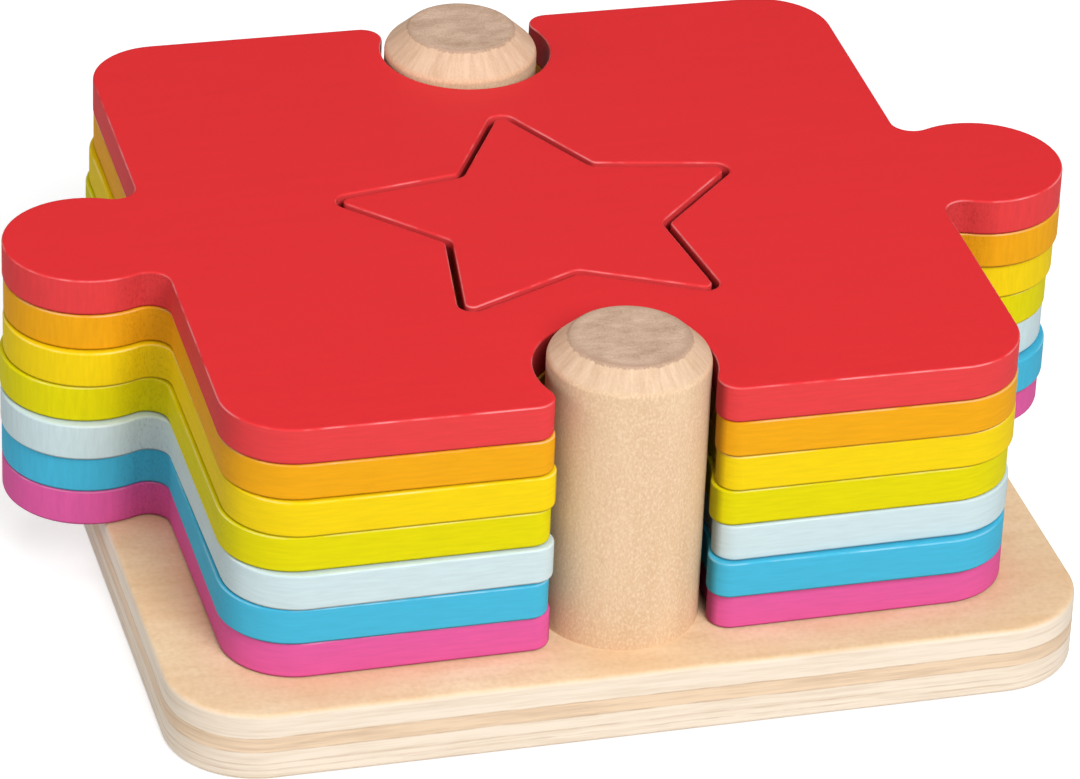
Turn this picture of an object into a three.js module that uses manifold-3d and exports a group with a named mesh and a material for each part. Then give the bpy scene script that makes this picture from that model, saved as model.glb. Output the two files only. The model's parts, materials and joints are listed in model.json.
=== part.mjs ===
// Shape board: seven jigsaw plates, each with a shape that lifts out, stacked over two posts on a stand.
// Millimetres, +Z up. The origin is the centre of the board's underside. The tabs point along X and the
// posts stand along Y, the front one at -Y.

import * as THREE from 'three';
import { mergeVertices } from 'three/addons/utils/BufferGeometryUtils.js';
import Module from 'manifold-3d';

const wasm = await Module();
wasm.setup();

// Plates
const plateSide = 130;
const plateThickness = 6.5;
const plateCorner = 12;
const plateEdge = 1; // chamfer along every edge of a plate and of an inlay

// Posts
const postRadius = 13.1;
const postProud = 4.7; // how far a post stands above the top plate
const postChamferIn = 3.6; // across the top
const postChamferDown = 2.8; // down the side
const postInset = 11.15; // from a plate's edge in to the post's axis

// Sockets that straddle the posts, and tabs that fit the sockets of another set
const socketClearance = 1.5;
const socketShift = 0.6; // from the post's axis out to the socket's centre
const tabClearance = 0.6;
const neckFillet = 3.5;

// Cut-outs and the inlays that lie in them
const cutoutWall = 7.95; // least material between a cut-out and a socket's floor
const cutoutRound = 2.5;
const cutoutCrease = 0.3; // radius of the inner corners of the star and the cross, where their chamfer ends
const inlayGap = 1.2;
const starTipAngle = 56.5; // degrees
const starShift = -2; // along Y, from the middle of its plate
const squareTrim = 4.5;
const crossArm = 20;
const diamondTrim = 8;

// Board
const boardSideMargin = 10.5; // from a plate's left or right edge out to the board's edge
const boardFrontMargin = 8.8; // the same at the front and the back
const boardThickness = 12;
const boardCorner = 15;
const boardEdge = 0.8;

// Wood screws, driven up through the board into the posts
const screwRadius = 2;
const screwLength = 40;
const screwPoint = 5;
const screwHeadRadius = 4;
const screwHeadRim = 0.5;
const screwHeadHeight = 2.6;
const screwHeadRecess = 0.5; // below the board's underside
const screwClearance = 0.3;
const crossRecessLength = 4.6;
const crossRecessWidth = 1;
const crossRecessDepth = 1.5;

// Facets
const arcStep = 15; // degrees of an outline's arc to a facet
const samePoint = 1e-4; // points nearer than this are one point
const postSides = 40;
const screwSides = 16;

// The stack from the bottom up. The plates lie loose, so each has its own small shift along X and Y and its own
// small turn in degrees, anticlockwise from above.
const stack = [
  { colour: 'pink', paint: 0xee58a0, cutout: 'diamond', shift: [-0.25, 0.6], turn: 0.1 },
  { colour: 'blue', paint: 0x41b4e1, cutout: 'cross', shift: [-0.3, -0.3], turn: -0.45 },
  { colour: 'pale_blue', paint: 0xd0e6ec, cutout: 'hexagon', shift: [-0.6, 0.1], turn: 0.45 },
  { colour: 'lime', paint: 0xe8e000, cutout: 'triangle', shift: [-0.5, 0.55], turn: -0.2 },
  { colour: 'yellow', paint: 0xffd619, cutout: 'square', shift: [0.05, 0.2], turn: -0.2 },
  { colour: 'orange', paint: 0xf8a523, cutout: 'circle', shift: [0.3, 0.15], turn: -0.85 },
  { colour: 'red', paint: 0xde2e36, cutout: 'star', shift: [0.1, 0], turn: -0.95 },
];

// Sizes that follow from the ones above
const plateHalf = plateSide / 2;
const postOffset = plateHalf - postInset;
const postHeight = stack.length * plateThickness + postProud;
const socketRadius = postRadius + socketClearance;
const socketDepth = postInset - socketShift; // from the plate's edge in to the socket's centre
const socketFloor = plateHalf - socketDepth - socketRadius; // from the plate's middle
const tabRadius = socketRadius - tabClearance;
const cutoutReach = socketFloor - cutoutWall; // half the height of a cut-out
const boardHalfWidth = plateHalf + boardSideMargin;
const boardHalfDepth = plateHalf + boardFrontMargin;

const radians = THREE.MathUtils.degToRad;
const degrees = THREE.MathUtils.radToDeg;

// Points along an arc, both ends included. Angles are in degrees, and the arc runs from start to end.
function arc(x, y, radius, start, end) {
  const steps = Math.max(1, Math.ceil(Math.abs(end - start) / arcStep - samePoint));
  const points = [];
  for (let i = 0; i <= steps; i += 1) {
    const angle = radians(start + ((end - start) * i) / steps);
    points.push(new THREE.Vector2(x + radius * Math.cos(angle), y + radius * Math.sin(angle)));
  }
  return points;
}

// An outline without the doubled points where two of its arcs meet.
function withoutDoubles(points) {
  return points.filter((point, i) => point.distanceTo(points[(i + 1) % points.length]) > samePoint);
}

// A corner's unit directions back along the side that arrives and on along the side that leaves.
function sidesAt(corners, i) {
  const corner = corners[i];
  const before = corners[(i + corners.length - 1) % corners.length];
  const after = corners[(i + 1) % corners.length];
  const back = before.clone().sub(corner).normalize();
  const on = after.clone().sub(corner).normalize();
  return { corner, back, on, convex: on.cross(back) > 0 };
}

// A polygon with its sides moved inwards. Corners run anticlockwise.
function insetPolygon(corners, distance) {
  return corners.map((unused, i) => {
    const { corner, back, on, convex } = sidesAt(corners, i);
    const halfAngle = Math.acos(THREE.MathUtils.clamp(back.dot(on), -1, 1)) / 2;
    const inward = back.clone().add(on).normalize().multiplyScalar(convex ? 1 : -1);
    return corner.clone().addScaledVector(inward, distance / Math.sin(halfAngle));
  });
}

// A polygon with its corners rounded: outer corners to one radius and inner corners to another.
function roundPolygon(corners, outerRadius, innerRadius) {
  const points = corners.flatMap((unused, i) => {
    const { corner, back, on, convex } = sidesAt(corners, i);
    const radius = convex ? outerRadius : innerRadius;
    const halfAngle = Math.acos(THREE.MathUtils.clamp(back.dot(on), -1, 1)) / 2;
    const bisector = back.clone().add(on).normalize();
    const centre = corner.clone().addScaledVector(bisector, radius / Math.sin(halfAngle));
    const run = radius / Math.tan(halfAngle);
    const first = corner.clone().addScaledVector(back, run).sub(centre);
    const turn = (convex ? 1 : -1) * (180 - degrees(2 * halfAngle));
    const start = degrees(Math.atan2(first.y, first.x));
    return arc(centre.x, centre.y, radius, start, start + turn);
  });
  return withoutDoubles(points);
}

// Corners of a regular polygon with its first corner at the given angle in degrees.
function regularCorners(count, radius, firstAngle) {
  return Array.from({ length: count }, (unused, i) => {
    const angle = radians(firstAngle + (360 * i) / count);
    return new THREE.Vector2(radius * Math.cos(angle), radius * Math.sin(angle));
  });
}

function rectangleCorners(halfWidth, halfHeight) {
  return [
    new THREE.Vector2(halfWidth, -halfHeight),
    new THREE.Vector2(halfWidth, halfHeight),
    new THREE.Vector2(-halfWidth, halfHeight),
    new THREE.Vector2(-halfWidth, -halfHeight),
  ];
}

// The star's rounded tips fill the cut-out's height, and the tip angle sets how deep it is waisted.
function starCorners() {
  const tips = 5;
  const halfTip = radians(starTipAngle / 2);
  const halfPitch = Math.PI / tips;
  const tipCentre = (2 * (cutoutReach - cutoutRound)) / (1 + Math.cos(halfPitch));
  const tipRadius = tipCentre + cutoutRound / Math.sin(halfTip);
  const waistRadius = (tipRadius * Math.sin(halfTip)) / Math.sin(halfPitch + halfTip);
  const drop = cutoutReach - cutoutRound - tipCentre + starShift;
  const outer = regularCorners(tips, tipRadius, 90);
  const inner = regularCorners(tips, waistRadius, 90 + 180 / tips);
  return outer.flatMap((tip, i) => [tip, inner[i]]).map((point) => point.add(new THREE.Vector2(0, drop)));
}

// An equilateral triangle whose rounded corners fill the cut-out's height.
function triangleCorners() {
  const cornerCentre = (2 * (cutoutReach - cutoutRound)) / 1.5;
  const drop = cutoutReach - cutoutRound - cornerCentre;
  const corners = regularCorners(3, cornerCentre + 2 * cutoutRound, 90);
  return corners.map((point) => point.add(new THREE.Vector2(0, drop)));
}

function crossCorners() {
  const arm = crossArm / 2;
  const end = cutoutReach;
  const quarter = [new THREE.Vector2(end, -arm), new THREE.Vector2(end, arm), new THREE.Vector2(arm, arm)];
  const middle = new THREE.Vector2();
  return [0, 1, 2, 3].flatMap((turn) =>
    quarter.map((point) => point.clone().rotateAround(middle, (turn * Math.PI) / 2)),
  );
}

function diamondCorners() {
  const halfWidth = cutoutReach - diamondTrim;
  return [
    new THREE.Vector2(halfWidth, 0),
    new THREE.Vector2(0, cutoutReach),
    new THREE.Vector2(-halfWidth, 0),
    new THREE.Vector2(0, -cutoutReach),
  ];
}

const squareHalf = cutoutReach - squareTrim;
const cutouts = {
  star: { corners: starCorners(), round: cutoutRound },
  circle: { corners: rectangleCorners(cutoutReach, cutoutReach), round: cutoutReach },
  square: { corners: rectangleCorners(squareHalf, squareHalf), round: cutoutRound },
  triangle: { corners: triangleCorners(), round: cutoutRound },
  hexagon: { corners: regularCorners(6, cutoutReach, 0), round: cutoutRound },
  cross: { corners: crossCorners(), round: cutoutRound },
  diamond: { corners: diamondCorners(), round: cutoutRound },
};

// A cut-out's outline, or with an inset the outline of the inlay that lies in it with that gap all round.
function cutoutOutline(name, inset) {
  const { corners, round } = cutouts[name];
  const crease = plateEdge + cutoutCrease;
  return roundPolygon(insetPolygon(corners, inset), round - inset, crease + inset);
}

// A plate's outline, anticlockwise from the front right corner: a tab on the right, a socket at the back,
// then the same two sides turned half round.
function plateOutline() {
  const half = plateHalf;
  const depth = socketDepth;
  const fillet = neckFillet;
  const inner = half - plateCorner;
  const tabFilletY = Math.sqrt((tabRadius + fillet) ** 2 - (depth - fillet) ** 2);
  const tabAngle = degrees(Math.atan2(tabFilletY, depth - fillet));
  const mouthX = Math.sqrt((socketRadius + fillet) ** 2 - (depth - fillet) ** 2);
  const mouthAngle = degrees(Math.atan2(depth - fillet, mouthX));
  const tabSide = [
    ...arc(half + fillet, -tabFilletY, fillet, 180, tabAngle),
    ...arc(half + depth, 0, tabRadius, tabAngle - 180, 180 - tabAngle),
    ...arc(half + fillet, tabFilletY, fillet, -tabAngle, -180),
  ];
  const socketSide = [
    ...arc(mouthX, half - fillet, fillet, 90, 180 + mouthAngle),
    ...arc(0, half - depth, socketRadius, mouthAngle, -180 - mouthAngle),
    ...arc(-mouthX, half - fillet, fillet, -mouthAngle, 90),
  ];
  const backRight = arc(inner, inner, plateCorner, 0, 90);
  const backLeft = arc(-inner, inner, plateCorner, 90, 180);
  const halfway = [...tabSide, ...backRight, ...socketSide, ...backLeft];
  const turned = halfway.map((point) => point.clone().negate());
  return withoutDoubles([...halfway, ...turned]);
}

// A flat piece of the given outline, with chamfered edges, standing on z = 0.
function slab(outline, thickness, edge, hole) {
  const shape = new THREE.Shape(outline);
  if (hole) {
    shape.holes.push(new THREE.Path(hole));
  }
  const geometry = new THREE.ExtrudeGeometry(shape, {
    depth: thickness - 2 * edge,
    bevelThickness: edge,
    bevelSize: edge,
    bevelOffset: -edge,
    bevelSegments: 1,
  });
  return geometry.translate(0, 0, edge);
}

// A turned piece from its profile of radius and height pairs, standing on z = 0.
function turned(profile, sides) {
  const points = profile.map(([radius, height]) => new THREE.Vector2(radius, height));
  return new THREE.LatheGeometry(points, sides).rotateX(Math.PI / 2);
}

function toSolid(geometry) {
  const plain = geometry.clone();
  plain.deleteAttribute('normal');
  plain.deleteAttribute('uv');
  const merged = mergeVertices(plain);
  const mesh = new wasm.Mesh({
    numProp: 3,
    vertProperties: new Float32Array(merged.attributes.position.array),
    triVerts: new Uint32Array(merged.index.array),
  });
  return new wasm.Manifold(mesh);
}

// A geometry with other geometries cut out of it.
function cut(geometry, cutters) {
  const result = cutters.reduce((solid, cutter) => solid.subtract(toSolid(cutter)), toSolid(geometry)).getMesh();
  const out = new THREE.BufferGeometry();
  out.setAttribute('position', new THREE.BufferAttribute(result.vertProperties, 3));
  out.setIndex(new THREE.BufferAttribute(result.triVerts, 1));
  out.computeVertexNormals();
  return out;
}

function finish(color, roughness, metalness = 0) {
  return new THREE.MeshStandardMaterial({ color, roughness, metalness });
}

const plywood = finish(0xe6b98c, 0.55);
const beech = finish(0xe6c39b, 0.6);
const steel = finish(0xb9b9b4, 0.35, 1);

const shapeBoard = new THREE.Group();

function add(name, geometry, material, x, y, z, turn = 0) {
  const mesh = new THREE.Mesh(geometry, material);
  mesh.name = name;
  mesh.position.set(x, y, z);
  mesh.rotation.z = radians(turn);
  shapeBoard.add(mesh);
}

// Board, with a countersunk hole under each post
const boardOutline = roundPolygon(rectangleCorners(boardHalfWidth, boardHalfDepth), boardCorner, boardCorner);
const holeOverrun = 1;
const rimTop = screwHeadRecess + screwHeadRim;
const headTop = screwHeadRecess + screwHeadHeight;
const screwHole = turned(
  [
    [0, -holeOverrun],
    [screwHeadRadius + screwClearance, -holeOverrun],
    [screwHeadRadius + screwClearance, rimTop],
    [screwRadius + screwClearance, headTop],
    [screwRadius + screwClearance, boardThickness + holeOverrun],
    [0, boardThickness + holeOverrun],
  ],
  screwSides,
);
const boardBlank = slab(boardOutline, boardThickness, boardEdge);
const screwHoles = [-postOffset, postOffset].map((y) => screwHole.clone().translate(0, y, 0));
add('base_board', cut(boardBlank, screwHoles), plywood, 0, 0, 0);

// Post, with a pilot hole for its screw
const screwTop = screwHeadRecess + screwLength;
const pilotRadius = screwRadius + screwClearance;
const pilotDepth = screwTop + screwClearance - boardThickness;
const post = turned(
  [
    [0, pilotDepth],
    [pilotRadius, pilotDepth - screwPoint],
    [pilotRadius, 0],
    [postRadius, 0],
    [postRadius, postHeight - postChamferDown],
    [postRadius - postChamferIn, postHeight],
    [0, postHeight],
  ],
  postSides,
);

// Countersunk wood screw with a cross recess, head down
const screwBlank = turned(
  [
    [0, screwHeadRecess],
    [screwHeadRadius, screwHeadRecess],
    [screwHeadRadius, rimTop],
    [screwRadius, headTop],
    [screwRadius, screwTop - screwPoint],
    [0, screwTop],
  ],
  screwSides,
);
const recessHeight = screwHeadRecess + crossRecessDepth;
const recessAlongX = new THREE.BoxGeometry(crossRecessLength, crossRecessWidth, 2 * recessHeight);
const recessAlongY = new THREE.BoxGeometry(crossRecessWidth, crossRecessLength, 2 * recessHeight);
const screw = cut(screwBlank, [recessAlongX, recessAlongY]);

for (const [place, y] of [['front', -postOffset], ['back', postOffset]]) {
  add(`${place}_post`, post, beech, 0, y, boardThickness);
  add(`${place}_screw`, screw, steel, 0, y, 0);
}

// Plates and their inlays
stack.forEach(({ colour, paint, cutout, shift, turn }, level) => {
  const [x, y] = shift;
  const z = boardThickness + level * plateThickness;
  const plate = slab(plateOutline(), plateThickness, plateEdge, cutoutOutline(cutout, 0));
  const inlay = slab(cutoutOutline(cutout, inlayGap), plateThickness, plateEdge);
  const lacquer = finish(paint, 0.35);
  add(`${colour}_plate`, plate, lacquer, x, y, z, turn);
  add(`${cutout}_inlay`, inlay, lacquer, x, y, z, turn);
});

export default shapeBoard;
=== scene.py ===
import bpy
import json
import math
from mathutils import Matrix, Vector


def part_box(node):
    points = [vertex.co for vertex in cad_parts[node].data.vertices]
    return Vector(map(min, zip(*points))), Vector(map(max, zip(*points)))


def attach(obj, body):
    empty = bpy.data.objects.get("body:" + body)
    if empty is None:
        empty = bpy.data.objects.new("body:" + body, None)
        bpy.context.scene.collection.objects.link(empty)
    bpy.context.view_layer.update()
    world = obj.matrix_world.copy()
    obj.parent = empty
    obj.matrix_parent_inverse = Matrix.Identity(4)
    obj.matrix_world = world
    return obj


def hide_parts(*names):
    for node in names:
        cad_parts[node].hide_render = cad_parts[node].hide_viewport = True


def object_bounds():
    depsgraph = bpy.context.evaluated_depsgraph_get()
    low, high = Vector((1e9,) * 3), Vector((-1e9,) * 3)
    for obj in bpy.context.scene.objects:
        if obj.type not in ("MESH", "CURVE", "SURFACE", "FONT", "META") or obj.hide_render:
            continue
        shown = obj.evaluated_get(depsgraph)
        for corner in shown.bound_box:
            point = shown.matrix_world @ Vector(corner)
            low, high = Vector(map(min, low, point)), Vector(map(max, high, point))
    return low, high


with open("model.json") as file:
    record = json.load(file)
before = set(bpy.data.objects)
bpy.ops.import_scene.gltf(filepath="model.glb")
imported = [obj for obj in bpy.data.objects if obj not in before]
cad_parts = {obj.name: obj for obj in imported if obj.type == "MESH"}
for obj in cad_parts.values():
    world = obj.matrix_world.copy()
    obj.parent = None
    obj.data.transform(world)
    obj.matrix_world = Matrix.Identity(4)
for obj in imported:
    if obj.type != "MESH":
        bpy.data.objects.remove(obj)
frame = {"nodes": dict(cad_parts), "record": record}
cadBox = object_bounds()
mm = 0.001
bodyOf = {node: body for body, nodes in frame["record"]["behaviour"]["bodies"].items() for node in nodes}
print("frame loaded:", len(frame["nodes"]), "nodes")


# Selecting, as by hand: everything off first, then faces or edges by their place or normal

def clearSelection():
    if bpy.context.object and bpy.context.object.mode != "OBJECT":
        bpy.ops.object.mode_set(mode="OBJECT")
    bpy.ops.object.select_all(action="DESELECT")


def pickFaces(piece, wanted):
    bpy.ops.mesh.select_mode(type="FACE")
    bpy.ops.mesh.select_all(action="DESELECT")
    bpy.ops.object.mode_set(mode="OBJECT")
    for face in piece.data.polygons:
        face.select = wanted(face)
    bpy.ops.object.mode_set(mode="EDIT")


def pickEdges(piece, wanted):
    bpy.ops.mesh.select_mode(type="EDGE")
    bpy.ops.mesh.select_all(action="DESELECT")
    bpy.ops.object.mode_set(mode="OBJECT")
    mesh = piece.data
    facesAt = {}
    for face in mesh.polygons:
        for key in face.edge_keys:
            facesAt.setdefault(key, []).append(face)
    for edge in mesh.edges:
        ends = [mesh.vertices[i].co for i in edge.vertices]
        edge.select = wanted(ends, facesAt.get(edge.key, []))
    bpy.ops.object.mode_set(mode="EDIT")


def isLevel(face):
    return abs(face.normal.z) > 0.9


def atRim(ends, faces):        # an edge between a level face and a wall
    return len(faces) == 2 and isLevel(faces[0]) != isLevel(faces[1])


# A new mesh at the origin, open in edit mode and still empty
def startPiece(name):
    clearSelection()
    bpy.ops.mesh.primitive_plane_add(size=10 * mm, location=(0, 0, 0))
    piece = bpy.context.object
    piece.name = name
    piece.data.name = name
    bpy.ops.object.mode_set(mode="EDIT")
    bpy.ops.mesh.delete(type="VERT")
    return piece


# The pencil: a small plane merged to one point, which is then pushed along lines and spun round arcs
def putPencil(x, y, z):
    bpy.ops.mesh.select_mode(type="VERT")
    bpy.ops.mesh.select_all(action="DESELECT")
    bpy.ops.mesh.primitive_plane_add(size=mm, location=(x, y, z))
    bpy.ops.mesh.merge(type="CENTER")


def pushPencil(x, y, z):
    bpy.ops.mesh.extrude_region_move(TRANSFORM_OT_translate={"value": (x, y, z)})


outlineDetail = {"arcStep": 6, "smallRadius": 4 * mm, "smallArcStep": 11.25, "samePoint": 1e-6}


def onArc(arc, degrees):
    turn = math.radians(degrees)
    out = Vector((math.cos(turn), math.sin(turn), 0)) * arc["radius"]
    return Vector((arc["x"], arc["y"], 0)) + out


# An outline is a ring of arcs, and the straight stretches between them follow
def drawOutline(arcs, centre):
    first = onArc(arcs[0], arcs[0]["start"])
    here = first
    putPencil(*(centre + first))
    for arc in arcs:
        there = onArc(arc, arc["start"])
        if (there - here).length > outlineDetail["samePoint"]:
            pushPencil(*(there - here))
        small = arc["radius"] < outlineDetail["smallRadius"]
        step = outlineDetail["smallArcStep"] if small else outlineDetail["arcStep"]
        middle = centre + Vector((arc["x"], arc["y"], 0))
        steps = max(2, round(abs(arc["sweep"]) / step))
        bpy.ops.mesh.spin(steps=steps, angle=-math.radians(arc["sweep"]), center=middle, axis=(0, 0, 1))
        here = onArc(arc, arc["start"] + arc["sweep"])
    if (first - here).length > outlineDetail["samePoint"]:
        pushPencil(*(first - here))


# Fills what is drawn, pulls it up to its thickness and rounds its edges over
def makeSlab(piece, thickness, edgeRound, hasHole):
    bpy.ops.mesh.select_all(action="SELECT")
    bpy.ops.mesh.remove_doubles(threshold=outlineDetail["samePoint"])
    if hasHole:
        bpy.ops.mesh.fill(use_beauty=True)
    else:
        bpy.ops.mesh.edge_face_add()
    bpy.ops.mesh.select_all(action="SELECT")
    bpy.ops.mesh.extrude_region_move(TRANSFORM_OT_translate={"value": (0, 0, thickness)})
    bpy.ops.mesh.select_all(action="SELECT")
    bpy.ops.mesh.normals_make_consistent(inside=False)
    pickFaces(piece, isLevel)
    bpy.ops.mesh.inset(thickness=edgeRound["inset"], use_boundary=True, use_even_offset=True)
    middle = sum(vertex.co.z for vertex in piece.data.vertices) / len(piece.data.vertices)
    for radius, upper in ((edgeRound["upper"], True), (edgeRound["lower"], False)):
        pickEdges(piece, lambda ends, faces: atRim(ends, faces) and (ends[0].z > middle) == upper)
        bpy.ops.mesh.bevel(offset=radius, segments=edgeRound["segments"], profile=0.5,
                           affect="EDGES", clamp_overlap=False)


smoothBelow = 40        # degrees between faces up to which they shade as one


# Level faces stay flat under smooth shading by weighting the normals
def finishShading(piece):
    clearSelection()
    piece.select_set(True)
    bpy.context.view_layer.objects.active = piece
    bpy.ops.object.shade_smooth_by_angle(angle=math.radians(smoothBelow))
    bpy.ops.object.modifier_add(type="WEIGHTED_NORMAL")
    piece.modifiers[-1].keep_sharp = True
    bpy.ops.object.modifier_apply(modifier=piece.modifiers[-1].name)


# Turns a profile of radius and height pairs round an upright axis
def turnProfile(name, profile, centre, steps):
    piece = startPiece(name)
    radius, height = profile[0]
    putPencil(centre.x + radius, centre.y, height)
    for nextRadius, nextHeight in profile[1:]:
        pushPencil(nextRadius - radius, 0, nextHeight - height)
        radius, height = nextRadius, nextHeight
    bpy.ops.mesh.select_all(action="SELECT")
    bpy.ops.mesh.spin(steps=steps, angle=math.tau, center=(centre.x, centre.y, 0), axis=(0, 0, 1))
    bpy.ops.mesh.select_all(action="SELECT")
    bpy.ops.mesh.remove_doubles(threshold=outlineDetail["samePoint"])
    bpy.ops.mesh.normals_make_consistent(inside=False)
    return piece


def standFor(piece, node, material):
    piece.data.materials.clear()
    piece.data.materials.append(material)
    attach(piece, bodyOf[node])
    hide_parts(node)


# Shader building

def addNode(tree, kind, **settings):
    node = tree.nodes.new(kind)
    for name, value in settings.items():
        setattr(node, name, value)
    return node


def feed(tree, socket, value):        # a link where value is an output, a plain setting otherwise
    if isinstance(value, bpy.types.NodeSocket):
        tree.links.new(value, socket)
    else:
        socket.default_value = value


def mathNode(tree, operation, first, second=0.5):
    node = addNode(tree, "ShaderNodeMath", operation=operation)
    feed(tree, node.inputs[0], first)
    feed(tree, node.inputs[1], second)
    return node.outputs["Value"]


def distanceNode(tree, across, along):
    squares = [mathNode(tree, "POWER", part, 2.0) for part in (across, along)]
    return mathNode(tree, "SQRT", mathNode(tree, "ADD", *squares))


# Noise of about one blob to a unit, after the place is stretched along each axis
def noise(tree, vector, stretch, detail=3.0, roughness=0.55):
    stretched = addNode(tree, "ShaderNodeVectorMath", operation="MULTIPLY")
    feed(tree, stretched.inputs[0], vector)
    feed(tree, stretched.inputs[1], stretch)
    node = addNode(tree, "ShaderNodeTexNoise")
    feed(tree, node.inputs["Vector"], stretched.outputs["Vector"])
    node.inputs["Scale"].default_value = 1.0
    node.inputs["Detail"].default_value = detail
    node.inputs["Roughness"].default_value = roughness
    return node.outputs["Fac"]


def remap(tree, value, fromLow, fromHigh, toLow=0.0, toHigh=1.0):
    node = addNode(tree, "ShaderNodeMapRange")
    feed(tree, node.inputs["Value"], value)
    feed(tree, node.inputs["From Min"], fromLow)
    feed(tree, node.inputs["From Max"], fromHigh)
    feed(tree, node.inputs["To Min"], toLow)
    feed(tree, node.inputs["To Max"], toHigh)
    return node.outputs["Result"]


def mixColour(tree, amount, first, second):
    node = addNode(tree, "ShaderNodeMix", data_type="RGBA")
    feed(tree, node.inputs["Factor"], amount)
    feed(tree, node.inputs["A"], first)
    feed(tree, node.inputs["B"], second)
    return node.outputs["Result"]


def mixValue(tree, amount, first, second):
    node = addNode(tree, "ShaderNodeMix", data_type="FLOAT")
    feed(tree, node.inputs["Factor"], amount)
    feed(tree, node.inputs["A"], first)
    feed(tree, node.inputs["B"], second)
    return node.outputs["Result"]


def colour(red, green, blue):        # a screen colour from 0 to 255, made linear
    parts = [value / 255 for value in (red, green, blue)]
    return [v / 12.92 if v <= 0.04045 else ((v + 0.055) / 1.055) ** 2.4 for v in parts] + [1.0]


def newGroup(name, inputs, outputs):
    group = bpy.data.node_groups.new(name, "ShaderNodeTree")
    for label, kind in inputs:
        group.interface.new_socket(label, in_out="INPUT", socket_type=kind)
    for label, kind in outputs:
        group.interface.new_socket(label, in_out="OUTPUT", socket_type=kind)
    return group, group.nodes.new("NodeGroupInput"), group.nodes.new("NodeGroupOutput")


# How far a face leans from level, 0 on top and underneath and 1 on the walls,
# and masks of the upper round edges, where a highlight is painted, and of what leans over, where shade
# is painted
def makeWallGroup():
    group, source, target = newGroup(
        "wallMask", [], [(name, "NodeSocketFloat") for name in ("Wall", "Edge", "Under")])
    parts = addNode(group, "ShaderNodeSeparateXYZ")
    feed(group, parts.inputs["Vector"], addNode(group, "ShaderNodeTexCoord").outputs["Normal"])
    lean = mathNode(group, "SUBTRACT", 1.0, mathNode(group, "ABSOLUTE", parts.outputs["Z"]))
    wall = remap(group, lean, 0.05, 0.75)
    level = mathNode(group, "SUBTRACT", 1.0, wall)
    edge = mathNode(group, "MULTIPLY", mathNode(group, "MULTIPLY", wall, level), 4.0)
    # only the upper rims: they take the painted highlight, the lower ones don't
    upper = remap(group, parts.outputs["Z"], 0.1, 0.3)
    feed(group, target.inputs["Wall"], wall)
    feed(group, target.inputs["Edge"], mathNode(group, "MULTIPLY", edge, upper))
    # faces that lean over, darkened later as painted shade
    feed(group, target.inputs["Under"], remap(group, parts.outputs["Z"], -0.2, -0.6))
    return group


# Where the saw left marks: on the tabs, beyond the plates' straight sides, and torn fibres
# in the tabs' necks; and where shade is painted: in the tabs' necks, and inside, in the cut-outs and
# sockets
sawAndShadeLook = {
    "from": 66 * mm,
    "to": 68 * mm,
    "neck": 69 * mm,
    "neckInner": 1.5 * mm,
    "neckOuter": 6 * mm,
    "insideFrom": 55 * mm,
    "insideTo": 60 * mm,
    "socket": 54.45 * mm,        # from the middle to a socket's centre
    "socketFrom": 15.2 * mm,
    "socketTo": 16.6 * mm,
    "lowest": 12 * mm,        # where the first plate lies
    "plate": 6.5 * mm,
    "lip": (4.8 * mm, 5.5 * mm),        # above this, an inner wall keeps its plate's full colour, without the painted shade
}


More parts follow.
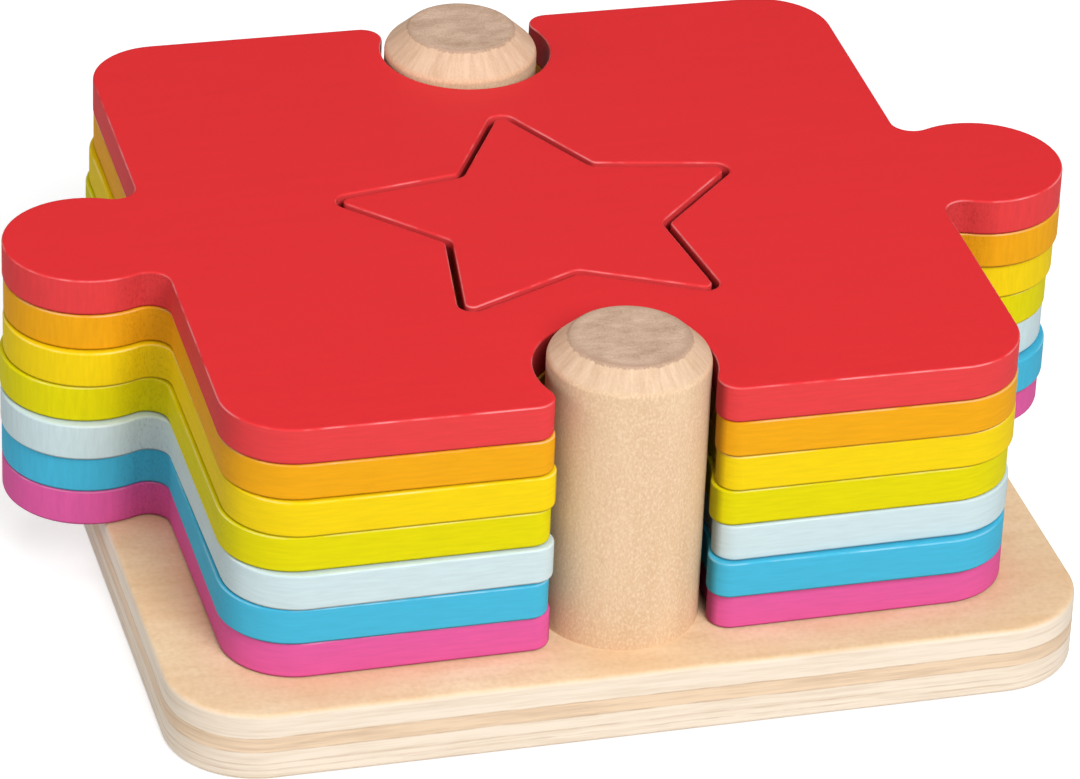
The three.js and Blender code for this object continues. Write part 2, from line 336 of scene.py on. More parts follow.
# Wood under the finish: calm mottling on the faces, ply lines along the walls and saw marks on the tabs,
# and the masks for painted shade in the necks, cut-outs and sockets
def makeGrainGroup():
    group, source, target = newGroup(
        "woodGrainAndShade",
        [("Place", "NodeSocketVector"), ("Wall", "NodeSocketFloat")],
        [(name, "NodeSocketFloat") for name in ("Face", "Side", "Neck", "Inside", "Specks", "Relief")])
    place = source.outputs["Place"]
    streaks = noise(group, place, (60, 420, 420), 4.0)
    speckle = noise(group, place, (1100, 1100, 1100), 2.0)
    face = mixValue(group, 0.5, streaks, speckle)
    sawMarks = noise(group, place, (1500, 1500, 230), 3.0, 0.6)
    plyLines = noise(group, place, (170, 170, 1800), 4.0, 0.6)
    parts = addNode(group, "ShaderNodeSeparateXYZ")
    feed(group, parts.inputs["Vector"], place)
    sideways = mathNode(group, "ABSOLUTE", parts.outputs["X"])
    onTab = remap(group, sideways, sawAndShadeLook["from"], sawAndShadeLook["to"])
    side = mixValue(group, onTab, plyLines, sawMarks)
    # the necks: painted shade there, and torn-fibre specks
    fromNeck = mathNode(group, "ABSOLUTE", mathNode(group, "SUBTRACT", sideways, sawAndShadeLook["neck"]))
    inNeck = remap(group, fromNeck, sawAndShadeLook["neckInner"], sawAndShadeLook["neckOuter"], 1.0, 0.0)
    torn = remap(group, noise(group, place, (3200, 3200, 1600), 1.0), 0.52, 0.68)
    onWall = mathNode(group, "MULTIPLY", inNeck, source.outputs["Wall"])
    # painted shade inside the cut-outs and sockets, below each plate's lip
    lengthways = mathNode(group, "ABSOLUTE", parts.outputs["Y"])
    outermost = mathNode(group, "MAXIMUM", sideways, lengthways)
    inside = remap(group, outermost, sawAndShadeLook["insideFrom"], sawAndShadeLook["insideTo"], 1.0, 0.0)
    above = mathNode(group, "SUBTRACT", parts.outputs["Z"], sawAndShadeLook["lowest"])
    inPlate = mathNode(group, "FLOORED_MODULO", above, sawAndShadeLook["plate"])
    inside = mathNode(group, "MULTIPLY", inside, remap(group, inPlate, *sawAndShadeLook["lip"], 1.0, 0.0))
    acrossSocket = mathNode(group, "SUBTRACT", lengthways, sawAndShadeLook["socket"])
    fromSocket = distanceNode(group, acrossSocket, sideways)
    inSocket = remap(group, fromSocket, sawAndShadeLook["socketFrom"], sawAndShadeLook["socketTo"], 1.0, 0.0)
    inside = mathNode(group, "MAXIMUM", inside, inSocket)
    feed(group, target.inputs["Face"], face)
    feed(group, target.inputs["Side"], side)
    feed(group, target.inputs["Neck"], onWall)
    feed(group, target.inputs["Inside"], mathNode(group, "MULTIPLY", inside, source.outputs["Wall"]))
    feed(group, target.inputs["Specks"], mathNode(group, "MULTIPLY", torn, onWall))
    feed(group, target.inputs["Relief"], mixValue(group, source.outputs["Wall"], face, side))
    return group


wallGroup = makeWallGroup()
grainGroup = makeGrainGroup()


def newMaterial(name):
    material = bpy.data.materials.new(name)
    material.use_nodes = True
    tree = material.node_tree
    tree.nodes.clear()
    output = addNode(tree, "ShaderNodeOutputMaterial")
    shader = addNode(tree, "ShaderNodeBsdfPrincipled")
    feed(tree, output.inputs["Surface"], shader.outputs["BSDF"])
    return material, tree, shader


def groupNode(tree, group):
    return addNode(tree, "ShaderNodeGroup", node_tree=group)


def objectPlace(tree):
    return addNode(tree, "ShaderNodeTexCoord").outputs["Object"]


def bump(tree, shader, height, strength, distance):
    node = addNode(tree, "ShaderNodeBump")
    node.inputs["Strength"].default_value = strength
    node.inputs["Distance"].default_value = distance
    feed(tree, node.inputs["Height"], height)
    feed(tree, shader.inputs["Normal"], node.outputs["Normal"])


paints = {
    "pink": colour(228, 94, 164),
    "blue": colour(72, 186, 222),
    "pale_blue": colour(208, 228, 232),
    "lime": colour(229, 217, 0),
    "yellow": colour(247, 213, 12),
    "orange": colour(242, 170, 18),
    "red": colour(231, 49, 53),
}
paintLook = {
    "roughness": (0.5, 0.6),
    "sideRoughness": 0.72,
    "edgeRoughness": 0.32,
    "specular": 0.2,
    "tint": 0.35,        # how much of the paint's colour the sheen takes
    "faceTone": (0.95, 1.01),
    "sideTone": (0.92, 1.02),
    "wallSheen": {"red": 0.024},        # painted sheen: the walls a little paler, standing in for a reflection
    # painted highlight along the upper rims: how pale, and how strong
    "highlightPale": 0.5,
    "highlightStrength": 0.4,
    "speckTone": 0.35,
    "speckDepth": 0.28,
    "shades": {"Neck": 0.8, "Inside": 0.45, "Under": 0.5},        # painted shade: the tone under each of these masks
}


def paler(paint, amount):
    return [part + (1 - part) * amount for part in paint[:3]] + [1.0]


def darker(paint, tone):
    return [part * tone for part in paint[:3]] + [1.0]


# Satin paint on plywood: the grain faintly through it, a painted sheen on the walls, a painted highlight
# broken along the upper edges, torn-fibre specks in the necks, and painted shade in the necks, cut-outs,
# sockets and under what leans over
def paintMaterial(name):
    material, tree, shader = newMaterial(name + "Paint")
    base = paints[name]
    # walls made paler: a painted sheen
    sheenedWall = paler(base, paintLook["wallSheen"].get(name, 0.0))
    # the paint made paler for the painted highlight on the rims
    highlightColour = paler(base, paintLook["highlightPale"])
    torn = darker(base, paintLook["speckTone"])
    place = objectPlace(tree)
    mask = groupNode(tree, wallGroup)
    grain = groupNode(tree, grainGroup)
    feed(tree, grain.inputs["Place"], place)
    feed(tree, grain.inputs["Wall"], mask.outputs["Wall"])
    onFace = remap(tree, grain.outputs["Face"], 0.3, 0.7, *paintLook["faceTone"])
    onSide = remap(tree, grain.outputs["Side"], 0.3, 0.7, *paintLook["sideTone"])
    tone = mixValue(tree, mask.outputs["Wall"], onFace, onSide)
    # painted shade: darker in the necks, inside the cut-outs and sockets, and on faces that lean over
    for node, part in ((grain, "Neck"), (grain, "Inside"), (mask, "Under")):
        shade = mixValue(tree, node.outputs[part], 1.0, paintLook["shades"][part])
        tone = mathNode(tree, "MULTIPLY", tone, shade)
    toned = addNode(tree, "ShaderNodeVectorMath", operation="SCALE")
    feed(tree, toned.inputs["Vector"], mixColour(tree, mask.outputs["Wall"], base, sheenedWall))
    feed(tree, toned.inputs["Scale"], tone)
    specks = mathNode(tree, "MULTIPLY", grain.outputs["Specks"], paintLook["speckDepth"])
    painted = mixColour(tree, specks, toned.outputs["Vector"], torn)
    # painted highlight along the upper rims, broken up by noise
    broken = remap(tree, noise(tree, place, (130, 130, 130), 3.0), 0.4, 0.6)
    edge = mathNode(tree, "MULTIPLY", mask.outputs["Edge"], broken)
    highlightAmount = mathNode(tree, "MULTIPLY", edge, paintLook["highlightStrength"])
    feed(tree, shader.inputs["Base Color"], mixColour(tree, highlightAmount, painted, highlightColour))
    satin = remap(tree, grain.outputs["Face"], 0.3, 0.7, *paintLook["roughness"])
    satin = mixValue(tree, mask.outputs["Wall"], satin, paintLook["sideRoughness"])
    feed(tree, shader.inputs["Roughness"], mixValue(tree, edge, satin, paintLook["edgeRoughness"]))
    shader.inputs["Specular IOR Level"].default_value = paintLook["specular"]
    shader.inputs["Specular Tint"].default_value = paler(base, 1 - paintLook["tint"])
    bump(tree, shader, grain.outputs["Relief"], 0.25, 0.06 * mm)
    return material


paintOf = {name: paintMaterial(name) for name in paints}

# Plywood board: height of each glue line above the underside, and how dark it is
boardLook = {
    "face": colour(236, 198, 158),
    "faceGold": colour(235, 201, 161),
    "facePale": colour(246, 220, 186),
    "faceDark": colour(216, 176, 130),
    "pale": colour(246, 231, 212),
    "tan": colour(240, 213, 182),
    "fibre": colour(206, 176, 146),
    "glue": colour(188, 150, 118),
    "glueHeights": (1.85 * mm, 3.0 * mm, 5.2 * mm, 7.8 * mm),
    "glueDepths": (0.45, 0.5, 0.7, 0.75),
    "glueHalfWidth": 0.2 * mm,
    "plyBlend": 0.1 * mm,
    "wander": 0.45 * mm,
    "roughness": (0.5, 0.64),
    "specular": 0.2,
}


# Lacquered plywood: a mottled face veneer, and on the walls the plies
# with thin broken glue lines between them
def boardMaterial():
    material, tree, shader = newMaterial("basePlywood")
    place = objectPlace(tree)
    mask = groupNode(tree, wallGroup)
    grain = groupNode(tree, grainGroup)
    feed(tree, grain.inputs["Place"], place)
    feed(tree, grain.inputs["Wall"], mask.outputs["Wall"])
    parts = addNode(tree, "ShaderNodeSeparateXYZ")
    feed(tree, parts.inputs["Vector"], place)
    waves = mixValue(tree, 0.3, noise(tree, place, (36, 36, 36), 3.0),
                     noise(tree, place, (260, 260, 260), 3.0))
    wander = remap(tree, waves, 0.0, 1.0, -boardLook["wander"], boardLook["wander"])
    height = mathNode(tree, "ADD", parts.outputs["Z"], wander)
    tanFrom, tanTo = boardLook["glueHeights"][2:]
    blend = boardLook["plyBlend"]
    above = remap(tree, height, tanFrom - blend, tanFrom + blend)
    below = remap(tree, height, tanTo + blend, tanTo - blend)
    middlePly = mathNode(tree, "MULTIPLY", above, below)
    walls = mixColour(tree, middlePly, boardLook["pale"], boardLook["tan"])
    fibres = noise(tree, place, (60, 60, 1300), 4.0, 0.65)
    torn = mixValue(tree, middlePly, 0.4, 0.75)
    torn = mathNode(tree, "MULTIPLY", remap(tree, fibres, 0.42, 0.7), torn)
    walls = mixColour(tree, torn, walls, boardLook["fibre"])
    broken = remap(tree, noise(tree, place, (150, 150, 400), 4.0), 0.36, 0.6, 0.15, 1.0)
    for glueHeight, depth in zip(boardLook["glueHeights"], boardLook["glueDepths"]):
        gap = mathNode(tree, "ABSOLUTE", mathNode(tree, "SUBTRACT", height, glueHeight))
        line = remap(tree, gap, 0.0, boardLook["glueHalfWidth"], depth, 0.0)
        line = mathNode(tree, "MULTIPLY", line, broken)
        walls = mixColour(tree, line, walls, boardLook["glue"])
    gold = noise(tree, place, (22, 34, 34), 4.0, 0.6)
    light = noise(tree, place, (30, 60, 60), 5.0, 0.65)
    face = mixColour(tree, remap(tree, gold, 0.4, 0.62), boardLook["face"], boardLook["faceGold"])
    face = mixColour(tree, remap(tree, light, 0.42, 0.64, 0.0, 0.85), face, boardLook["facePale"])
    streaks = remap(tree, grain.outputs["Face"], 0.42, 0.7, 0.0, 0.5)
    face = mixColour(tree, streaks, face, boardLook["faceDark"])
    feed(tree, shader.inputs["Base Color"], mixColour(tree, mask.outputs["Wall"], face, walls))
    matt = remap(tree, grain.outputs["Relief"], 0.3, 0.7, *boardLook["roughness"])
    feed(tree, shader.inputs["Roughness"], matt)
    shader.inputs["Specular IOR Level"].default_value = boardLook["specular"]
    bump(tree, shader, grain.outputs["Relief"], 0.3, 0.08 * mm)
    return material


postLook = {
    "wood": colour(236, 203, 167),
    "woodDark": colour(224, 188, 150),
    "speckPale": colour(250, 226, 196),
    "speckDark": colour(212, 170, 132),
    "chamfer": colour(232, 202, 174),
    "chamferDark": colour(204, 168, 138),
    "endGrain": colour(224, 192, 168),
    "endGrainDark": colour(184, 150, 126),
    "centre": 53.85 * mm,        # from the middle of the board to a post's axis
    "rimInner": 8.2 * mm,
    "rimOuter": 9.4 * mm,
    "topSkin": (0.05 * mm, 0.2 * mm),        # depth in which the end grain's colour fades out
    "fuzz": 0.4 * mm,
    "roughness": (0.56, 0.7),
    "specular": 0.2,
}


# Bare beech: fine specks all over, uneven streaks down the chamfer and duller, cloudy end grain on top
def beechMaterial():
    material, tree, shader = newMaterial("bareBeech")
    place = objectPlace(tree)
    parts = addNode(tree, "ShaderNodeSeparateXYZ")
    feed(tree, parts.inputs["Vector"], place)
    lengthways = mathNode(tree, "ABSOLUTE", parts.outputs["Y"])
    fromAxis = mathNode(tree, "SUBTRACT", lengthways, postLook["centre"])
    around = addNode(tree, "ShaderNodeCombineXYZ")
    feed(tree, around.inputs["X"], mathNode(tree, "ARCTAN2", fromAxis, parts.outputs["X"]))
    feed(tree, around.inputs["Y"], parts.outputs["Z"])
    rays = noise(tree, around.outputs["Vector"], (9, 160, 1), 5.0, 0.75)
    pale = noise(tree, place, (2700, 2700, 1800), 2.0)
    dark = noise(tree, place, (3300, 3300, 1500), 2.0)
    tone = noise(tree, place, (160, 160, 24), 4.0)
    body = mixColour(tree, remap(tree, tone, 0.3, 0.7), postLook["wood"], postLook["woodDark"])
    body = mixColour(tree, remap(tree, pale, 0.45, 0.68, 0.0, 0.5), body, postLook["speckPale"])
    body = mixColour(tree, remap(tree, dark, 0.48, 0.72, 0.0, 0.36), body, postLook["speckDark"])
    normal = addNode(tree, "ShaderNodeSeparateXYZ")
    feed(tree, normal.inputs["Vector"], addNode(tree, "ShaderNodeTexCoord").outputs["Normal"])
    onChamfer = remap(tree, normal.outputs["Z"], 0.35, 0.7)
    span = distanceNode(tree, fromAxis, parts.outputs["X"])
    fuzz = remap(tree, noise(tree, place, (1500, 1500, 300), 3.0, 0.7), 0.3, 0.7,
                 -postLook["fuzz"], 0.0)
    depth = mathNode(tree, "SUBTRACT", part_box("front_post")[1].z, parts.outputs["Z"])
    onTop = remap(tree, mathNode(tree, "ADD", depth, fuzz), *postLook["topSkin"], 1.0, 0.0)
    streaky = mixColour(tree, remap(tree, rays, 0.36, 0.66),
                        postLook["chamfer"], postLook["chamferDark"])
    body = mixColour(tree, mathNode(tree, "MULTIPLY", onChamfer, 0.7), body, streaky)
    clouds = mixValue(tree, 0.35, noise(tree, place, (170, 330, 1), 5.0, 0.7), pale)
    ends = mixColour(tree, remap(tree, clouds, 0.36, 0.64),
                     postLook["endGrain"], postLook["endGrainDark"])
    rim = remap(tree, span, postLook["rimInner"], postLook["rimOuter"], 0.0, 0.6)
    ends = mixColour(tree, rim, ends, postLook["endGrainDark"])
    feed(tree, shader.inputs["Base Color"], mixColour(tree, onTop, body, ends))
    feed(tree, shader.inputs["Roughness"], remap(tree, tone, 0.3, 0.7, *postLook["roughness"]))
    shader.inputs["Specular IOR Level"].default_value = postLook["specular"]
    bump(tree, shader, mathNode(tree, "ADD", pale, dark), 0.2, 0.06 * mm)
    return material


screwLook = {"steel": colour(188, 186, 178), "dullTone": 0.75, "roughness": (0.34, 0.48)}


def steelMaterial():
    material, tree, shader = newMaterial("zincSteel")
    patches = noise(tree, objectPlace(tree), (700, 700, 700), 4.0)
    dull = darker(screwLook["steel"], screwLook["dullTone"])
    steel = mixColour(tree, remap(tree, patches, 0.35, 0.65), screwLook["steel"], dull)
    feed(tree, shader.inputs["Base Color"], steel)
    shader.inputs["Metallic"].default_value = 1.0
    feed(tree, shader.inputs["Roughness"], remap(tree, patches, 0.3, 0.7, *screwLook["roughness"]))
    return material


print("materials ready:", len(bpy.data.materials))

# Jigsaw plates and their inlays

plateSizes = {
    "half": 65 * mm,
    "corner": 12 * mm,
    "socketRadius": 14.6 * mm,
    "socketDepth": 10.55 * mm,        # from the edge in to a socket's centre, and out to a tab's
    "tabRadius": 14 * mm,
    "neckFillet": 3.5 * mm,
    "edgeRound": {"upper": 0.4 * mm, "lower": 0.7 * mm, "segments": 3, "inset": 0.9 * mm},
}


def arcAt(x, y, radius, start, end):
    return {"x": x, "y": y, "radius": radius, "start": start, "sweep": end - start}


# Tab on the right, socket at the back, then the same again turned half round
def plateArcs():
    half = plateSizes["half"]
    depth = plateSizes["socketDepth"]
    fillet = plateSizes["neckFillet"]
    tab = plateSizes["tabRadius"]
    socket = plateSizes["socketRadius"]
    corner = plateSizes["corner"]
    inner = half - corner
    tabFilletY = math.sqrt((tab + fillet) ** 2 - (depth - fillet) ** 2)
    tabAngle = math.degrees(math.atan2(tabFilletY, depth - fillet))
    mouthX = math.sqrt((socket + fillet) ** 2 - (depth - fillet) ** 2)
    mouthAngle = math.degrees(math.atan2(depth - fillet, mouthX))
    ring = [
        arcAt(half + fillet, -tabFilletY, fillet, 180, tabAngle),
        arcAt(half + depth, 0, tab, tabAngle - 180, 180 - tabAngle),
        arcAt(half + fillet, tabFilletY, fillet, -tabAngle, -180),
        arcAt(inner, inner, corner, 0, 90),
        arcAt(mouthX, half - fillet, fillet, 90, 180 + mouthAngle),
        arcAt(0, half - depth, socket, mouthAngle, -180 - mouthAngle),
        arcAt(-mouthX, half - fillet, fillet, -mouthAngle, 90),
        arcAt(-inner, inner, corner, 90, 180),
    ]
    return ring + turnedArcs(ring, 180)


def turnedArcs(arcs, degrees):
    turn = Matrix.Rotation(math.radians(degrees), 2)
    middles = [turn @ Vector((arc["x"], arc["y"])) for arc in arcs]
    return [dict(arc, x=middle.x, y=middle.y, start=arc["start"] + degrees)
            for arc, middle in zip(arcs, middles)]


cutoutSizes = {
    "reach": 31.9 * mm,        # half a cut-out's height
    "round": 2.5 * mm,
    "crease": 1.3 * mm,
    "gap": 1.2 * mm,
    "starTip": 56.5,        # degrees
    "starShift": -2 * mm,
    "squareTrim": 4.5 * mm,
    "crossArm": 20 * mm,
    "diamondTrim": 8 * mm,
}


def ringOf(count, radius, firstAngle):
    turns = [math.radians(firstAngle + 360 * i / count) for i in range(count)]
    return [Vector((radius * math.cos(turn), radius * math.sin(turn))) for turn in turns]


def starCorners():
    reach = cutoutSizes["reach"] - cutoutSizes["round"]
    halfTip = math.radians(cutoutSizes["starTip"] / 2)
    halfPitch = math.pi / 5
    tipCentre = 2 * reach / (1 + math.cos(halfPitch))
    tipRadius = tipCentre + cutoutSizes["round"] / math.sin(halfTip)
    waistRadius = tipRadius * math.sin(halfTip) / math.sin(halfPitch + halfTip)
    drop = Vector((0, reach - tipCentre + cutoutSizes["starShift"]))
    tips = ringOf(5, tipRadius, 90)
    waists = ringOf(5, waistRadius, 90 + math.degrees(halfPitch))
    return [corner + drop for pair in zip(tips, waists) for corner in pair]


def triangleCorners():
    reach = cutoutSizes["reach"] - cutoutSizes["round"]
    cornerCentre = 2 * reach / 1.5
    drop = Vector((0, reach - cornerCentre))
    return [corner + drop for corner in ringOf(3, cornerCentre + 2 * cutoutSizes["round"], 90)]


def boxCorners(halfWidth, halfHeight):
    return [Vector((x * halfWidth, y * halfHeight)) for x, y in ((1, -1), (1, 1), (-1, 1), (-1, -1))]


def crossCorners():
    end = cutoutSizes["reach"]
    arm = cutoutSizes["crossArm"] / 2
    quarter = [Vector((end, -arm)), Vector((end, arm)), Vector((arm, arm))]
    turns = [Matrix.Rotation(math.pi / 2 * i, 2) for i in range(4)]
    return [turn @ corner for turn in turns for corner in quarter]


def diamondCorners():
    reach = cutoutSizes["reach"]
    width = reach - cutoutSizes["diamondTrim"]
    return [Vector((width, 0)), Vector((0, reach)), Vector((-width, 0)), Vector((0, -reach))]


squareHalf = cutoutSizes["reach"] - cutoutSizes["squareTrim"]
cutoutCorners = {
    "star": starCorners(),
    "circle": boxCorners(cutoutSizes["reach"], cutoutSizes["reach"]),
    "square": boxCorners(squareHalf, squareHalf),
    "triangle": triangleCorners(),
    "hexagon": ringOf(6, cutoutSizes["reach"], 0),
    "cross": crossCorners(),
    "diamond": diamondCorners(),
}


# Rounded corners of a shape, moved inwards by inset
def cutoutArcs(name, inset):
    corners = cutoutCorners[name]
    outerRound = cutoutSizes["reach"] if name == "circle" else cutoutSizes["round"]
    arcs = []
    for i, corner in enumerate(corners):
        back = (corners[i - 1] - corner).normalized()
        on = (corners[(i + 1) % len(corners)] - corner).normalized()
        convex = on.cross(back) > 0
        sign = 1 if convex else -1
        halfAngle = math.acos(max(-1, min(1, back.dot(on)))) / 2
        bisector = (back + on).normalized()
        radius = outerRound - inset if convex else cutoutSizes["crease"] + inset
        corner = corner + bisector * (sign * inset / math.sin(halfAngle))
        middle = corner + bisector * (radius / math.sin(halfAngle))
        first = corner + back * (radius / math.tan(halfAngle)) - middle
        start = math.degrees(math.atan2(first.y, first.x))
        sweep = sign * (180 - math.degrees(2 * halfAngle))
        arcs.append(arcAt(middle.x, middle.y, radius, start, start + sweep))
    return arcs


# The loose plates from the bottom up, each with the small turn in degrees that it lies at
stack = {
    "pink": {"cutout": "diamond", "turn": 0.1},
    "blue": {"cutout": "cross", "turn": -0.45},
    "pale_blue": {"cutout": "hexagon", "turn": 0.45},
    "lime": {"cutout": "triangle", "turn": -0.2},
    "yellow": {"cutout": "square", "turn": -0.2},
    "orange": {"cutout": "circle", "turn": -0.85},
    "red": {"cutout": "star", "turn": -0.95},
}


def makePlate(name, cutout, turn):
    low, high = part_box(name + "_plate")
    thickness = high.z - low.z
    centre = Vector(((low.x + high.x) / 2, (low.y + high.y) / 2, low.z))
    plate = startPiece(name + "_plate_wood")
    drawOutline(turnedArcs(plateArcs(), turn), centre)
    drawOutline(turnedArcs(cutoutArcs(cutout, 0), turn), centre)
    makeSlab(plate, thickness, plateSizes["edgeRound"], hasHole=True)
    finishShading(plate)
    standFor(plate, name + "_plate", paintOf[name])
    inlay = startPiece(cutout + "_inlay_wood")
    drawOutline(turnedArcs(cutoutArcs(cutout, cutoutSizes["gap"]), turn), centre)
    makeSlab(inlay, thickness, plateSizes["edgeRound"], hasHole=False)
    finishShading(inlay)
    standFor(inlay, cutout + "_inlay", paintOf[name])


for colourName, lie in stack.items():
    makePlate(colourName, lie["cutout"], lie["turn"])
    print("plate and inlay made:", colourName, lie["cutout"])

# Base board with its two countersunk holes

boardSizes = {
    "corner": 15 * mm,
    "edgeRound": {"upper": 0.8 * mm, "lower": 0.8 * mm, "segments": 4, "inset": 1.0 * mm},
    "holeRadius": 2.3 * mm,
    "sinkRadius": 4.3 * mm,
    "rimTop": 1.0 * mm,
    "sinkTop": 3.1 * mm,
    "overrun": 1 * mm,
    "holeSteps": 48,
}


def makeBoard():
    low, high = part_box("base_board")
    corner = boardSizes["corner"]
    across = (high.x - low.x) / 2 - corner
    along = (high.y - low.y) / 2 - corner
    ways = ((1, 1), (-1, 1), (-1, -1), (1, -1))
    arcs = [arcAt(x * across, y * along, corner, 90 * i, 90 * i + 90) for i, (x, y) in enumerate(ways)]
    board = startPiece("base_board_wood")
    drawOutline(arcs, Vector((0, 0, low.z)))
    makeSlab(board, high.z - low.z, boardSizes["edgeRound"], hasHole=False)
    for node in ("front_screw", "back_screw"):
        screwLow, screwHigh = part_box(node)
        axis = (screwLow + screwHigh) / 2
        profile = [
            (0, low.z - boardSizes["overrun"]),
            (boardSizes["sinkRadius"], low.z - boardSizes["overrun"]),
            (boardSizes["sinkRadius"], boardSizes["rimTop"]),
            (boardSizes["holeRadius"], boardSizes["sinkTop"]),
            (boardSizes["holeRadius"], high.z + boardSizes["overrun"]),
            (0, high.z + boardSizes["overrun"]),
        ]
        cutter = turnProfile("screwHoleCutter", profile, axis, boardSizes["holeSteps"])
        clearSelection()
        board.select_set(True)
        bpy.context.view_layer.objects.active = board
        bpy.ops.object.modifier_add(type="BOOLEAN")
        board.modifiers[-1].object = cutter
        board.modifiers[-1].operation = "DIFFERENCE"
        bpy.ops.object.modifier_apply(modifier=board.modifiers[-1].name)
        bpy.data.objects.remove(cutter)
    finishShading(board)
    standFor(board, "base_board", boardMaterial())


makeBoard()
print("base board made")

# Beech posts with chamfered tops, and the screws that hold them

postSizes = {
    "chamferIn": {"front": 3.5 * mm, "back": 4.1 * mm},
    "chamferDown": {"front": 3.3 * mm, "back": 3.8 * mm},
    "pilotRadius": 2.3 * mm,
    "point": 5 * mm,
    "topEdge": {"offset": 0.25 * mm, "segments": 2},
    "shoulder": {"offset": 0.7 * mm, "segments": 4},
    "steps": 96,
    "sameRim": 0.05 * mm,
}
screwSizes = {"clearance": 0.3 * mm}


def makePost(side, beech):
    low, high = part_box(side + "_post")
    axis = (low + high) / 2
    radius = (high.x - low.x) / 2
    shoulder = high.z - postSizes["chamferDown"][side]
    topRadius = radius - postSizes["chamferIn"][side]
    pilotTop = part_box(side + "_screw")[1].z + screwSizes["clearance"]
    profile = [
        (0, pilotTop),
        (postSizes["pilotRadius"], pilotTop - postSizes["point"]),
        (postSizes["pilotRadius"], low.z),
        (radius, low.z),
        (radius, shoulder),
        (topRadius, high.z),
        (0, high.z),
    ]
    post = turnProfile(side + "_post_wood", profile, axis, postSizes["steps"])

    def roundRim(rimRadius, rimHeight, rounding):
        def onRim(ends, faces):
            spans = [math.hypot(end.x - axis.x, end.y - axis.y) for end in ends]
            misses = [abs(span - rimRadius) for span in spans] + [abs(end.z - rimHeight) for end in ends]
            return max(misses) < postSizes["sameRim"]
        pickEdges(post, onRim)
        bpy.ops.mesh.bevel(profile=0.5, affect="EDGES", clamp_overlap=False, **rounding)

    roundRim(radius, shoulder, postSizes["shoulder"])
    roundRim(topRadius, high.z, postSizes["topEdge"])
    finishShading(post)
    standFor(post, side + "_post", beech)


beechWood = beechMaterial()
zincSteel = steelMaterial()
for sideName in ("front", "back"):
    makePost(sideName, beechWood)
    screw = frame["nodes"][sideName + "_screw"]
    screw.data.materials.clear()
    screw.data.materials.append(zincSteel)
print("posts and screws made")

# Floor, light and camera

stageLook = {
    "floor": colour(206, 206, 206),
    "floorSize": 8,
    "floorDrop": 0.1 * mm,
    "glow": 0.62,        # lifts the floor to white for the eye and in reflections, and lights nothing
    "ambient": 0.16,
    "distance": 1.9,
    "lamps": {
        "key": {"azimuth": 9, "elevation": 40, "size": 1.1, "power": 31.3},
        "fill": {"azimuth": -92, "elevation": 22, "size": 1.0, "power": 7.5},
        "top": {"azimuth": 0, "elevation": 90, "size": 1.4, "power": 9.5},
    },
}


def makeFloor():
    clearSelection()
    height = cadBox[0][2] - stageLook["floorDrop"]
    bpy.ops.mesh.primitive_plane_add(size=stageLook["floorSize"], location=(0, 0, height))
    floor = bpy.context.object
    floor.name = "floor"
    bpy.ops.object.transform_apply(location=True, rotation=True, scale=True)
    material = bpy.data.materials.new("paleFloor")
    material.use_nodes = True
    tree = material.node_tree
    tree.nodes.clear()
    output = addNode(tree, "ShaderNodeOutputMaterial")
    matt = addNode(tree, "ShaderNodeBsdfDiffuse")
    matt.inputs["Color"].default_value = stageLook["floor"]
    glow = addNode(tree, "ShaderNodeEmission")
    path = addNode(tree, "ShaderNodeLightPath")
    seen = mathNode(tree, "MAXIMUM", path.outputs["Is Camera Ray"], path.outputs["Is Glossy Ray"])
    seen = mathNode(tree, "MAXIMUM", seen, path.outputs["Is Transmission Ray"])
    feed(tree, glow.inputs["Strength"], mathNode(tree, "MULTIPLY", seen, stageLook["glow"]))
    both = addNode(tree, "ShaderNodeAddShader")
    feed(tree, both.inputs[0], matt.outputs["BSDF"])
    feed(tree, both.inputs[1], glow.outputs["Emission"])
    feed(tree, output.inputs["Surface"], both.outputs["Shader"])
    floor.data.materials.append(material)


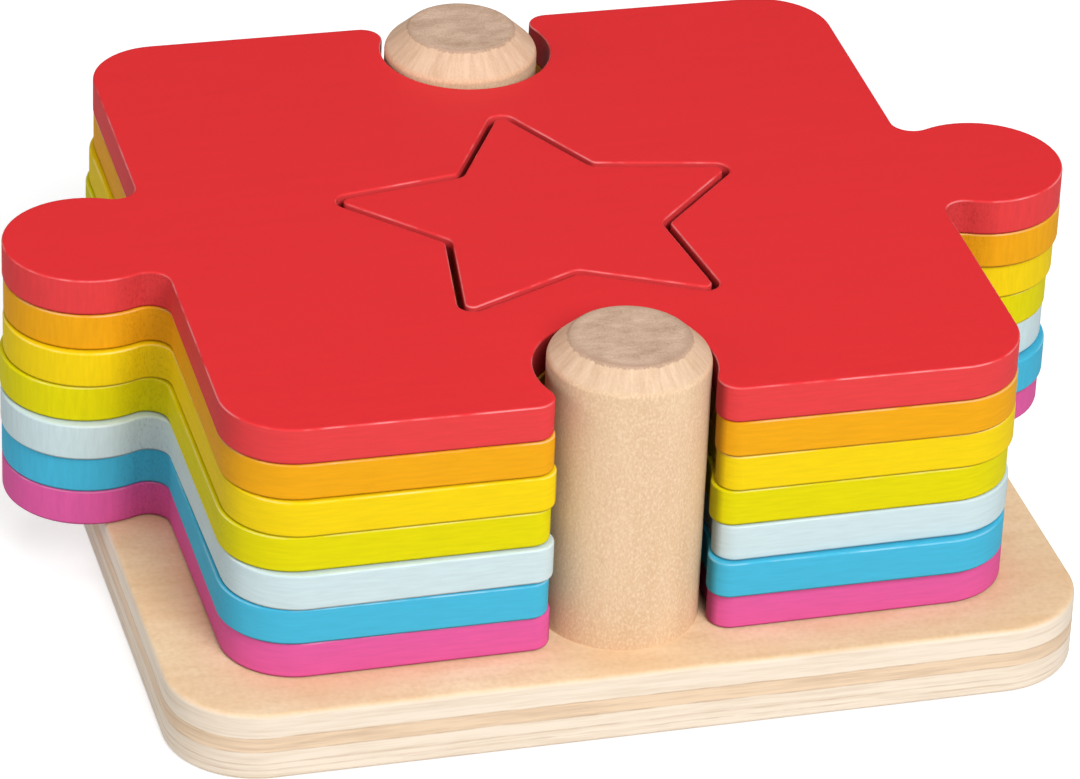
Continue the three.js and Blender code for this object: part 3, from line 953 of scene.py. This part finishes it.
def makeWorld():
    world = bpy.data.worlds.new("studio")
    bpy.context.scene.world = world
    world.use_nodes = True
    tree = world.node_tree
    tree.nodes.clear()
    output = addNode(tree, "ShaderNodeOutputWorld")
    sky = addNode(tree, "ShaderNodeBackground")
    sky.inputs["Strength"].default_value = stageLook["ambient"]
    feed(tree, output.inputs["Surface"], sky.outputs["Background"])


# The way out from the origin, with azimuth 0 towards the front and 90 towards the right
def outwardAt(azimuth, elevation):
    turn = math.radians(azimuth)
    rise = math.radians(elevation)
    return Vector((math.sin(turn) * math.cos(rise), -math.cos(turn) * math.cos(rise), math.sin(rise)))


def makeLamp(name, settings):
    clearSelection()
    outward = outwardAt(settings["azimuth"], settings["elevation"])
    bpy.ops.object.light_add(type="AREA", location=outward * stageLook["distance"])
    lamp = bpy.context.object
    lamp.name = name + "Lamp"
    lamp.data.shape = "DISK"
    lamp.data.size = settings["size"]
    lamp.data.energy = settings["power"]
    lamp.rotation_euler = (-outward).to_track_quat("-Z", "Y").to_euler()


cameraView = {
    "target": (-2.99 * mm, -14.66 * mm, 30 * mm),
    "azimuth": -16.206,
    "elevation": 30.542,
    "roll": 2.51,
    "distance": 976.6 * mm,
    "lens": 197.68,
    "sensor": 36,
    "clipStart": 10 * mm,
}


def makeCamera():
    clearSelection()
    outward = outwardAt(cameraView["azimuth"], cameraView["elevation"])
    level = Vector((0, 0, 1)).cross(outward).normalized()
    aim = Matrix((level, outward.cross(level), outward)).transposed()
    place = Vector(cameraView["target"]) + outward * cameraView["distance"]
    bpy.ops.object.camera_add(location=place)
    camera = bpy.context.object
    camera.name = "photoCamera"
    camera.rotation_euler = (aim @ Matrix.Rotation(math.radians(cameraView["roll"]), 3, "Z")).to_euler()
    camera.data.lens = cameraView["lens"]
    camera.data.sensor_width = cameraView["sensor"]
    camera.data.clip_start = cameraView["clipStart"]
    bpy.context.scene.camera = camera


makeFloor()
makeWorld()
for lampName, lampSettings in stageLook["lamps"].items():
    makeLamp(lampName, lampSettings)
makeCamera()
bpy.context.scene.view_settings.view_transform = "Standard"
clearSelection()
print("stage set")
